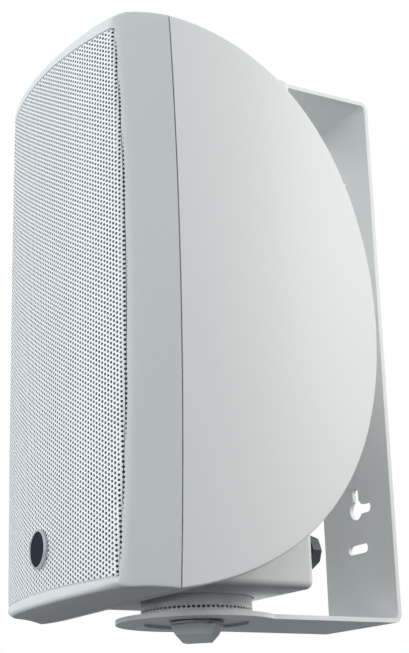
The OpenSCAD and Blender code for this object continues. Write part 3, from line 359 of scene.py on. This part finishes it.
def lip(edge_half, slope, radius, turn):
    """Where a fillet of radius lies between a side of that slope and a rim: inset from the rim, and half
    width. turn runs from 0 at the side to 1 at the rim."""
    root = np.sqrt(1 + slope ** 2)
    start = np.arctan2(1, -slope)
    angle = start * (1 - turn)
    inset = radius * (1 - np.cos(angle))
    half = edge_half - slope * radius - radius * root + radius * np.sin(angle)
    return inset, half


def shell_lip(u, turn, radius=LIP_R):
    """Points on the cheek's lip: u from -1 to 1 runs round the drum from seam to seam, turn crosses the lip.
    The inset and the angle round the drum depend on each other, so a few rounds settle both."""
    inset = np.full(np.broadcast(u, turn).shape, radius * 0.3)
    for _ in range(4):
        rho = CHEEK_R - inset
        phi = u * np.arccos((SEAM_Y + HALF_GAP - CHEEK_Y) / rho)
        y, z = CHEEK_Y + CHEEK_R * np.cos(phi), CHEEK_R * np.sin(phi)
        edge = rear_side(y, z)
        narrowing = (y - WIDEST_Y) / np.sqrt(SIDE_ROUND ** 2 - (y - WIDEST_Y) ** 2)
        slope = -narrowing * np.cos(phi) - z * np.sin(phi) / BOW_R
        inset, half = lip(edge, slope, radius, turn)
    rho = CHEEK_R - inset
    return np.stack([half, CHEEK_Y + rho * np.cos(phi), rho * np.sin(phi)], -1)


def mirrored(points):
    """The same points on the other side."""
    return points * np.array([-1.0, 1.0, 1.0])


def drum_shell():
    """The round shell: bowed side walls from the lip forward to the seam, lips, and the rim between them,
    then an edge at the seam that turns inward."""
    shape = Shape()
    u = np.sin(np.linspace(-1, 1, 121) * math.pi / 2)[:, None]
    arc = shell_lip(u, np.linspace(0, 1, 9)[None, :])
    foot = arc[:, 0]
    forth = np.linspace(0, 1, 15)[None, :]
    y = foot[:, 1:2] * (1 - forth) + (SEAM_Y + HALF_GAP) * forth
    z = np.broadcast_to(foot[:, 2:3], y.shape)
    side = np.stack([rear_side(y, z), y, z], -1)
    side[:, 0] = foot
    edge = arc[:, -1]
    across = np.linspace(1, -1, 13)[None, :, None]
    places = np.broadcast_to(edge[:, None, 1:], (len(u), across.shape[1], 2))
    rim = np.concatenate([edge[:, None, :1] * across, places], -1)
    for sheet in (side, arc):
        shape.grid(sheet)
        shape.grid(mirrored(sheet))
    shape.grid(rim)
    seam = np.concatenate([
        side[:, -1], arc[-1, 1:], rim[-1, 1:], mirrored(arc[-1, ::-1])[1:],
        mirrored(side[::-1, -1]), mirrored(arc[0])[1:], rim[0, ::-1][1:], arc[0, ::-1][1:-1]])
    shape.grid(seam_edge(seam, 1), wrap=True)
    return shape


def seam_edge(loop, way):
    """Rings that turn the loop's edge inward by the wall and then into the piece: inset and depth in
    millimetres for each ring. way is 1 for the shell behind the seam and -1 for the frame in front of it."""
    steps = [(0.0, 0.0), (0.12, 0.0), (WALL, 0.0), (WALL, 5.0)]
    half = np.array([SEAM_HALF, 1.0, CHEEK_R])
    rings = []
    for inset, depth in steps:
        ring = loop * (1 - inset / half * np.array([1.0, 0.0, 1.0]))
        ring[:, 1] = loop[:, 1] + way * depth
        rings.append(ring)
    return np.stack(rings)


def rounded_box(half_x, y0, y1, half_z, r, steps=6):
    """A box with every edge rounded by r: plan loops with round corners, stacked. Towards the top and
    bottom each loop shrinks along a quarter circle; LEAST_R keeps the points of the last corners apart."""
    turn = np.linspace(0, math.pi / 2, steps)
    lift = np.concatenate([np.sin(turn[::-1]), np.sin(turn)])
    shrink = np.concatenate([1 - np.cos(turn[::-1]), 1 - np.cos(turn)]) * r
    level = np.concatenate([-(half_z - r) - lift[:steps] * r, half_z - r + lift[steps:] * r])
    corner = np.linspace(0, math.pi / 2, steps)
    loops = []
    for inset, z in zip(shrink, level):
        cr = r - inset + LEAST_R
        ring = []
        for k, (sx, sy) in enumerate([(1, 1), (-1, 1), (-1, -1), (1, -1)]):
            a = corner + k * math.pi / 2
            cx = sx * (half_x - r)
            cy = (y0 + y1) / 2 + sy * ((y1 - y0) / 2 - r)
            ring.append(np.stack([cx + cr * np.cos(a), cy + cr * np.sin(a), np.full(steps, z)], -1))
        loops.append(np.concatenate(ring))
    return np.stack(loops)


shell = drum_shell()
box = rounded_box(BOX_HALF_W, SEAM_Y + 6, BOX_BACK, BOX_HALF_H, BOX_ROUND)
shell.grid(box, wrap=True)
ring = np.arange(box.shape[1])
shell.block(box[0], ring[None, ::-1])
shell.block(box[-1], ring[None, :])
place("cabinet_shell", shell.mesh("cabinet_shell"), "cabinet", abs_shell,
      ["rear_cabinet"])


# ---------------------------------------------------------------- front frame
def swell(x):
    """Depth of the bowed front at x: an upright cylinder."""
    return FRONT_AXIS_Y - np.sqrt(FRONT_R ** 2 - x ** 2)


def section(loc, y, less_x=0.0, less_z=0.0, radius=LIP_R):
    """Points of the frame's outline at depth y: loc holds, for each point, its piece of the outline
    (0 side, 1 lip, 2 end), its place on it and the signs of x and z; less_x and less_z draw the outline
    inward. The ends are the shell's round outline plus a parabola that is TOP_CROWN or FOOT_CROWN high at
    depth CROWN_Y; FOOT_CROWN is negative, which flattens the bottom."""
    kind, t, sx, sz = loc
    rise = np.where(np.where(kind == 0, t, sz) > 0, TOP_CROWN, FOOT_CROWN)
    crown = rise * np.maximum(1 - ((y - CROWN_Y) / CROWN_HALF) ** 2, CROWN_LEAST)
    top = np.sqrt(CHEEK_R ** 2 - (y - CHEEK_Y) ** 2) + crown - less_z
    edge = band_side(y, top) - less_x
    slope = -top / BOW_R
    inset0 = lip(edge, slope, radius, np.zeros_like(t))[0]
    inset, half = lip(edge, slope, radius, t)
    end_half = lip(edge, slope, radius, np.ones_like(t))[1]
    z = np.where(kind == 0, t * (top - inset0), np.where(kind == 1, sz * (top - inset), sz * top))
    x_side = band_side(y, z) - less_x
    x = np.where(kind == 0, sx * x_side, np.where(kind == 1, sx * half, t * end_half))
    return x, z


def outline_places():
    """The order of points round the outline: right side upward, lip, top, lip, left side down, lip,
    bottom, lip."""
    side = np.linspace(-1, 1, 61)
    turn = np.linspace(0, 1, 9)[1:]
    across = np.linspace(1, -1, 25)[1:-1]
    legs = [(0, side, 1, 1), (1, turn, 1, 1), (2, across, 1, 1), (1, turn[::-1], -1, 1),
            (0, side[::-1], -1, 1), (1, turn, -1, -1), (2, across[::-1], 1, -1), (1, turn[::-1], 1, -1)]
    rows = [(kind, t, sx, sz) for kind, places, sx, sz in legs for t in places]
    return [np.array(col, float) for col in zip(*rows)]


def frame_ring(loc, depth_of, less_x=0.0, less_z=0.0):
    """One ring of the outline whose depth depends on its own x, found in a few rounds."""
    x = np.full_like(loc[1], 70.0)
    for _ in range(8):
        y = depth_of(x)
        x, z = section(loc, y, less_x, less_z)
    return np.stack([x, y, z], -1)


def recess_ring(loc, y_of, grow=0.0):
    """The grille's outline with bowed sides and oval corners, grown by grow, with as many points as loc."""
    kind, t, sx, sz = loc
    top = GRILLE_TOP + grow
    z = np.where(kind == 0, t * (top - END_CORNER), 0.0)
    turn = t * math.pi / 2
    z = np.where(kind == 1, sz * (top - END_CORNER + END_CORNER * np.sin(turn)), z)
    z = np.where(kind == 2, sz * top, z)
    half_at = GRILLE_HALF + grow - z ** 2 / (2 * GRILLE_BOW_R)
    corner_half = GRILLE_HALF + grow - (top - END_CORNER) ** 2 / (2 * GRILLE_BOW_R)
    x = np.where(kind == 0, sx * half_at, 0.0)
    x = np.where(kind == 1, sx * (corner_half - GRILLE_CORNER + GRILLE_CORNER * np.cos(turn)), x)
    x = np.where(kind == 2, t * (corner_half - GRILLE_CORNER), x)
    return np.stack([x, y_of(x), z], -1)


def side_turn(t):
    """The soft edge between band and front: a quadratic curve from EDGE_TURN behind the corner to EDGE_TURN
    inside it, cut where the recess starts. Returns the depth behind the front's surface and the inset from
    the band for each t from 0 to 1."""
    corner = np.array([FRONT_HALF, SEAM_Y - BAND_D])
    back_way = np.array([BAND_SLOPE, 1.0]) / math.hypot(BAND_SLOPE, 1.0)
    front_slope = FRONT_HALF / math.sqrt(FRONT_R ** 2 - FRONT_HALF ** 2)
    front_way = np.array([-1.0, -front_slope]) / math.hypot(1.0, front_slope)
    first, last = corner + EDGE_TURN * back_way, corner + EDGE_TURN * front_way
    fine = np.linspace(0, 1, 400)[:, None]
    curve = (1 - fine) ** 2 * first + 2 * fine * (1 - fine) * corner + fine ** 2 * last
    stop = np.searchsorted(-curve[:, 0], -(GRILLE_HALF + GRILLE_FIT + 0.12))
    picks = curve[np.round(t * (min(stop, 399))).astype(int)]
    return picks[:, 1] - swell(picks[:, 0]), band_side(picks[:, 1], 0.0) - picks[:, 0]


def front_frame_shape():
    """Rings from the seam forward to the rounded front edge, across the lip and down into the recess,
    then a flat baffle with two round openings. At the four corners the front edge starts CORNER_SOFT
    further back, which fades out over CORNER_REACH along the outline."""
    loc = outline_places()
    kind, t = loc[0], loc[1]
    blend = np.where(kind == 0, 0.0, np.where(kind == 1, t ** 2 * (3 - 2 * t), 1.0))
    side_back, side_in = side_turn(np.linspace(0, 1, ROUND_STEPS + 1))
    rings = []
    rear = SEAM_Y - HALF_GAP
    reach = np.where(kind == 0, CHEEK_R, np.where(kind == 1, 0.0, FRONT_HALF))
    away = (1 - np.abs(t)) * reach
    corner = CORNER_SOFT * np.maximum(0, 1 - away / CORNER_REACH) ** 2
    start = side_back[0] * (1 - blend) + FRAME_ROUND * blend + corner
    for v in np.linspace(0, 1, 14):
        rings.append(frame_ring(loc, lambda x: rear + v * (swell(x) + start - rear)))
    for step, a in enumerate(np.linspace(0, math.pi / 2, ROUND_STEPS + 1)[1:], 1):
        end_back = FRAME_ROUND * (1 - math.sin(a))
        back = side_back[step] * (1 - blend) + end_back * blend + corner * (1 - step / ROUND_STEPS)
        less_z = FRAME_ROUND * (1 - math.cos(a))
        rings.append(frame_ring(loc, lambda x: swell(x) + back, side_in[step], less_z))
    lip_back = side_back[-1] * (1 - blend)
    rings.append(recess_ring(loc, lambda x: swell(x) + lip_back + 0.02, GRILLE_FIT + 0.1))
    rings.append(recess_ring(loc, lambda x: swell(x) + lip_back + 0.25, GRILLE_FIT))
    rings.append(recess_ring(loc, lambda x: np.full_like(x, BAFFLE_Y), GRILLE_FIT))
    shape = Shape()
    shape.grid(np.stack(rings), wrap=True)
    shape.grid(seam_edge(rings[0], -1), wrap=True)
    floor = rings[-1]
    a = np.linspace(0, 2 * math.pi, 65)[:-1]
    level = np.full_like(a, BAFFLE_Y)
    holes = [np.stack([r * np.cos(a), level, z + r * np.sin(a)], -1) for r, z in (WOOFER_HOLE, TWEETER_HOLE)]
    loops = [floor] + holes
    flat = [[Vector((p[0], p[2], 0)) for p in loop] for loop in loops]
    tris = np.array(tessellate_polygon(flat))
    shape.block(np.concatenate(loops), tris)
    for hole in holes:
        deep = hole + np.array([0.0, BAFFLE_T, 0.0])
        shape.grid(np.stack([hole, deep]), wrap=True)
    return shape


place("front_frame_piece", front_frame_shape().mesh("front_frame_piece"), "cabinet", shaded_abs_frame,
      ["front_frame"])


# ---------------------------------------------------------------- grille
def wrap_sheet(flat, deep):
    """Carries flat points (n, 2) onto the grille: inside the fold line they lie on the bowed front; outside
    it they turn back round the fold, wide at the sides and tight at the ends, and then run straight in.
    deep moves a point through the sheet. Also returns how far each point runs past the fold, and which
    points lie outside the fold line."""
    x, z = flat[:, 0], flat[:, 1]
    ease = (GRILLE_HALF - z.clip(-GRILLE_TOP, GRILLE_TOP) ** 2 / (2 * GRILLE_BOW_R)) / GRILLE_HALF
    span = np.array([GRILLE_CORNER, END_CORNER])
    inner = np.array([GRILLE_HALF, GRILLE_TOP]) - span
    p = np.stack([np.abs(x) / ease, np.abs(z)], -1)
    over = np.maximum(p - inner, 0) / span
    far = np.hypot(over[:, 0], over[:, 1])
    way = over / (far + 1e-9)[:, None]
    unit = np.hypot(way[:, 0] * span[0], way[:, 1] * span[1])
    fold = np.hypot(way[:, 0] * GRILLE_FOLD, way[:, 1] * END_FOLD) + 1e-9
    past = far * unit - (unit - fold)
    on_fold = (past > 0) & (far > 0)
    turn = np.clip(past / fold, 0, math.pi / 2)
    run = np.maximum(past - fold * math.pi / 2, 0)
    r = fold - deep
    reach = (unit - fold + r * np.sin(turn)) / (unit + 1e-9)
    folded = (np.minimum(p, inner) + way * span * reach[:, None]) * np.sign(flat)
    gx = np.where(on_fold, folded[:, 0] * ease, x)
    gz = np.where(on_fold, folded[:, 1], z)
    depth = np.where(on_fold, fold - r * np.cos(turn) + run, deep)
    return np.stack([gx, swell(gx) + depth, gz], -1), np.where(on_fold, run, 0.0), on_fold


def cell_faces(hexagon, octagon):
    """Triangles between a six-sided outline and an eight-sided hole inside it, from the angles of their
    points: the fan moves on along whichever of the two has the nearer mid angle. Where both are equal, either
    triangle will do. Points 0 to 5 are the outline, 6 to 13 the hole."""
    hex_a = np.append(np.degrees(hexagon), 360.0)
    oct_a = np.append(np.degrees(octagon), 360.0 + 180.0 / HOLE_POINTS)
    faces = []
    i = j = 0
    while i < CELL_CORNERS or j < HOLE_POINTS:
        mid_i = (hex_a[i] + hex_a[i + 1]) / 2 if i < CELL_CORNERS else math.inf
        mid_j = (oct_a[j] + oct_a[j + 1]) / 2 if j < HOLE_POINTS else math.inf
        if mid_i < mid_j:
            faces.append((i, (i + 1) % CELL_CORNERS, CELL_CORNERS + j % HOLE_POINTS))
            i += 1
        else:
            faces.append((i % CELL_CORNERS, CELL_CORNERS + (j + 1) % HOLE_POINTS, CELL_CORNERS + j))
            j += 1
    return np.array(faces)


def perforated_bands(count):
    """A punched sheet of six-sided cells, each with a round hole of eight points: front skin, hole walls and
    back skin, in count bands from the bottom up. Holes stand HOLE_PITCH apart up each column, and every other
    column is half a pitch higher. Holes outside the fold line are FOLD_HOLE as wide."""
    col_pitch = HOLE_PITCH * math.sin(math.pi / 3)
    cols = np.arange(-40, 41)
    rows = np.arange(-64, 65)
    cx = cols[:, None] * col_pitch + 0 * rows[None, :]
    cz = rows[None, :] * HOLE_PITCH + (cols[:, None] % 2) * HOLE_PITCH / 2
    centre = np.stack([cx.ravel(), cz.ravel()], -1)
    run = wrap_sheet(centre, 0.0)[1]
    centre = centre[(run < RETURN_RUN) & (np.abs(centre[:, 0]) < GRILLE_HALF + GRILLE_FOLD)]
    hexagon = np.arange(CELL_CORNERS) * 2 * math.pi / CELL_CORNERS
    octagon = np.arange(HOLE_POINTS) * 2 * math.pi / HOLE_POINTS + math.pi / HOLE_POINTS
    corner = HOLE_PITCH / math.sqrt(3) * np.stack([np.cos(hexagon), np.sin(hexagon)], -1)
    hole = HOLE_R * np.stack([np.cos(octagon), np.sin(octagon)], -1)
    around = np.concatenate([corner, hole])
    skin = len(around)
    face = cell_faces(hexagon, octagon)
    step = np.arange(HOLE_POINTS)
    near, far = CELL_CORNERS + step, CELL_CORNERS + (step + 1) % HOLE_POINTS
    walls = np.stack([near, far, skin + far, skin + near], -1)
    bands = []
    order = np.argsort(centre[:, 1], kind="stable")
    for part in np.array_split(order, count):
        pick = centre[part]
        scale = np.ones((len(pick), skin, 1))
        scale[wrap_sheet(pick, 0.0)[2], CELL_CORNERS:] = FOLD_HOLE
        flat = (pick[:, None, :] + around[None] * scale).reshape(-1, 2)
        outer = wrap_sheet(flat, 0.0)[0]
        inner = wrap_sheet(flat, SHEET_T)[0]
        both = np.concatenate([outer.reshape(-1, skin, 3), inner.reshape(-1, skin, 3)], 1)
        first = (np.arange(len(pick)) * 2 * skin)[:, None, None]
        shape = Shape()
        shape.block(both.reshape(-1, 3), (face[None] + first).reshape(-1, 3),
                    (face[None, :, ::-1] + skin + first).reshape(-1, 3),
                    (walls[None] + first).reshape(-1, 4))
        bands.append(shape)
    return bands


parts = ("bottom", "middle", "top")
for part, shape in zip(parts, perforated_bands(len(parts))):
    name = "grille_sheet_" + part
    place(name, shape.mesh(name, merge=0.02, sharp=40), "cabinet", powder_grille,
          ["grille"] if part == "middle" else ())

# ---------------------------------------------------------------- smaller pieces
softened("bracket", "bracket", powder_bracket, 0.4)
for side in ("lower", "upper"):
    softened(side + "_bracket_ratchet", "bracket", abs_ratchet, 0.12)
    softened(side + "_cabinet_ratchet", "cabinet", abs_ratchet, 0.12)
    softened(side + "_clamp_knob", side + "_clamp", abs_knob, 0.9, 3)
softened("selector_knob", "selector", dark_abs, 0.4)
softened("terminal_block", "cabinet", dark_abs, 0.4)

# ---------------------------------------------------------------- stage
def seen_directly(tree):
    """1 for camera, glossy and transmission rays, which show the plain white backdrop."""
    rays = add(tree, "ShaderNodeLightPath").outputs
    either = add(tree, "ShaderNodeMath", None, {0: rays["Is Camera Ray"], 1: rays["Is Glossy Ray"]},
                 operation="MAXIMUM")
    both = add(tree, "ShaderNodeMath", None, {0: either.outputs[0], 1: rays["Is Transmission Ray"]},
               operation="MAXIMUM")
    return both.outputs[0]


def stage_finish(name, colour, bounce, glow):
    """A matte floor: the camera and mirrors see it in colour, and the camera sees it lifted by glow towards
    the white backdrop, so that it stays pale and keeps the shadow. It throws back light of the colour
    bounce."""
    mat = bpy.data.materials.new(name)
    mat.use_nodes = True
    tree = mat.node_tree
    tree.nodes.clear()
    out = add(tree, "ShaderNodeOutputMaterial")
    seen = seen_directly(tree)
    tone = add(tree, "ShaderNodeMix", {"A": linear(bounce), "B": linear(colour)}, {"Factor": seen},
               data_type="RGBA")
    camera_ray = add(tree, "ShaderNodeLightPath").outputs["Is Camera Ray"]
    lift = add(tree, "ShaderNodeMath", {1: glow}, {0: camera_ray}, operation="MULTIPLY")
    body = add(tree, "ShaderNodeBsdfDiffuse", None, {"Color": tone.outputs["Result"]})
    light = add(tree, "ShaderNodeEmission", {"Color": (1, 1, 1, 1)}, {"Strength": lift.outputs[0]})
    both = add(tree, "ShaderNodeAddShader", None, {0: body.outputs[0], 1: light.outputs[0]})
    tree.links.new(both.outputs[0], out.inputs["Surface"])
    return mat


# The floor, in millimetres, lies far enough below to stay out of views from beneath the cabinet.
FLOOR_HALF, FLOOR_Z = 30000, -2500
signs = ((-1, -1), (1, -1), (1, 1), (-1, 1))
floor_corners = [(sx * FLOOR_HALF, sy * FLOOR_HALF, FLOOR_Z) for sx, sy in signs]
floor_shape = Shape()
floor_shape.block(floor_corners, np.array([[0, 1, 2, 3]]))
floor = bpy.data.objects.new("studio_floor", floor_shape.mesh("studio_floor"))
bpy.context.collection.objects.link(floor)
floor.data.materials.append(stage_finish("matte_white_floor", "#F6F7F8", "#34373A", 0.3))

world = bpy.data.worlds.new("studio")
bpy.context.scene.world = world
world.use_nodes = True
tree = world.node_tree
tree.nodes.clear()
out = add(tree, "ShaderNodeOutputWorld")
sky = add(tree, "ShaderNodeBackground", {"Color": linear("#EAEFF2"), "Strength": 0.78})
white = add(tree, "ShaderNodeBackground", {"Color": (1, 1, 1, 1), "Strength": 1.0})
mix = add(tree, "ShaderNodeMixShader", None, {1: sky.outputs[0], 2: white.outputs[0], 0: seen_directly(tree)})
tree.links.new(mix.outputs[0], out.inputs["Surface"])


def lamp(name, place_at, aim, size, power, colour="#FFFFFF"):
    """A soft square light at a place in metres that looks at a point."""
    data = bpy.data.lights.new(name, "AREA")
    data.shape = "SQUARE"
    data.size = size
    data.energy = power
    data.color = linear(colour)[:3]
    obj = bpy.data.objects.new(name, data)
    bpy.context.collection.objects.link(obj)
    obj.location = place_at
    obj.rotation_mode = "QUATERNION"
    obj.rotation_quaternion = (Vector(aim) - Vector(place_at)).to_track_quat("-Z", "Y")
    return obj


# Places and sizes in metres, power in watts: a cool key from the front left, a plain fill from the front
# at the cabinet's own height, and a faintly warm light from the right rear.
lamp("key_front_left", (-0.93, -1.74, 0.72), (0, 0, 0), 1.2, 18, "#E4ECF2")
lamp("low_front", (0.36, -2.07, -0.04), (0, 0, 0), 0.8, 14)
lamp("right_rear", (1.13, 1.62, 0.72), (0, 0, 0), 1.2, 28, "#FFFDF8")

# ---------------------------------------------------------------- camera
# Fitted to the photo: place in millimetres, angles, and the focal length in pixels of a photo PHOTO_H high.
CAMERA_AT = (661.53, -376.03, -232.33)
AZIMUTH = math.radians(59.75)
TILT = math.radians(17.53)
ROLL = math.radians(-1.64)
FOCAL_PX = 1419.48
PHOTO_H = 653
forward = Vector((-math.sin(AZIMUTH) * math.cos(TILT), math.cos(AZIMUTH) * math.cos(TILT), math.sin(TILT)))
right = Vector((math.cos(AZIMUTH), math.sin(AZIMUTH), 0))
up = right.cross(forward)
right2 = right * math.cos(ROLL) + up * math.sin(ROLL)
up2 = up * math.cos(ROLL) - right * math.sin(ROLL)
data = bpy.data.cameras.new("photo_camera")
data.sensor_width = 36
data.lens = FOCAL_PX * data.sensor_width / PHOTO_H
data.clip_start, data.clip_end = 0.02, 80
camera = bpy.data.objects.new("photo_camera", data)
bpy.context.collection.objects.link(camera)
turn = Matrix((right2, up2, -forward)).transposed()
camera.matrix_world = Matrix.Translation(Vector(CAMERA_AT) * MM) @ turn.to_4x4()
bpy.context.scene.camera = camera
bpy.context.scene.view_settings.view_transform = "Standard"
